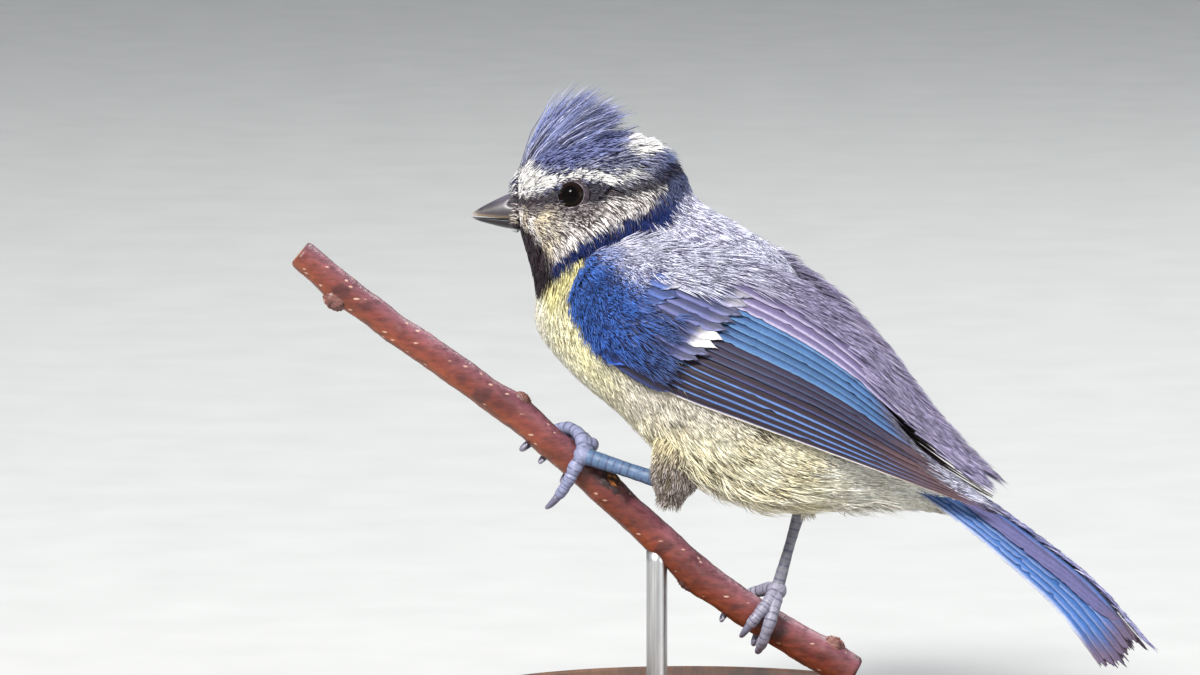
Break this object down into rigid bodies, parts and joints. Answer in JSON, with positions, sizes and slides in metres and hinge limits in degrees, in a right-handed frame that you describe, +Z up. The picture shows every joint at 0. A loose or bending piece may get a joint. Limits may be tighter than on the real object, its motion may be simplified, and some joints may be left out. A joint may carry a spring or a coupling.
{
  "type": "blue tit on a perch",
  "caption": "Life-size blue tit at rest on a short length of twig, head turned to the side and crest raised, held up by a plain round stand.",
  "frame": {"origin": "centre of the round stand base's underside, on the floor", "axes": "+Z up; +X along the twig's run, from the bird's head toward its tail; the camera of the picture looks along +Y at the bird's left side"},
  "size_m": [0.1134, 0.068, 0.0874],
  "materials": {
    "plumage": "soft fine feathering: blue-grey crown, white cheeks, grey back, cream and yellow underside",
    "wings": "blue and slate flight feathers with pale edges",
    "tail": "azure blue tail feathers with dark shafts",
    "eyes": "glossy dark brown",
    "bill": "slate grey horn, satin",
    "legs": "slate-blue scaled skin",
    "claws": "grey horn",
    "bark": "smooth red-brown bark with pale dots",
    "stand_wood": "satin dark wood",
    "stand_metal": "brushed"
  },
  "bodies": {
    "root": {"bill_lower": "bill", "bill_upper": "bill", "claw_left_hind": "claws", "claw_left_inner": "claws", "claw_left_middle": "claws", "claw_left_outer": "claws", "claw_right_hind": "claws", "claw_right_inner": "claws", "claw_right_middle": "claws", "claw_right_outer": "claws", "eye_left": "eyes", "eye_right": "eyes", "foot_left": "legs", "foot_right": "legs", "head": "plumage", "neck": "plumage", "rump": "plumage", "shank_left": "legs", "shank_right": "legs", "stand_base": "stand_wood", "stand_rod": "stand_metal", "tail": "tail", "thigh_left": "plumage", "thigh_right": "plumage", "torso": "plumage", "twig": "bark", "wing_left": "wings", "wing_right": "wings"}
  },
  "joints": []
}
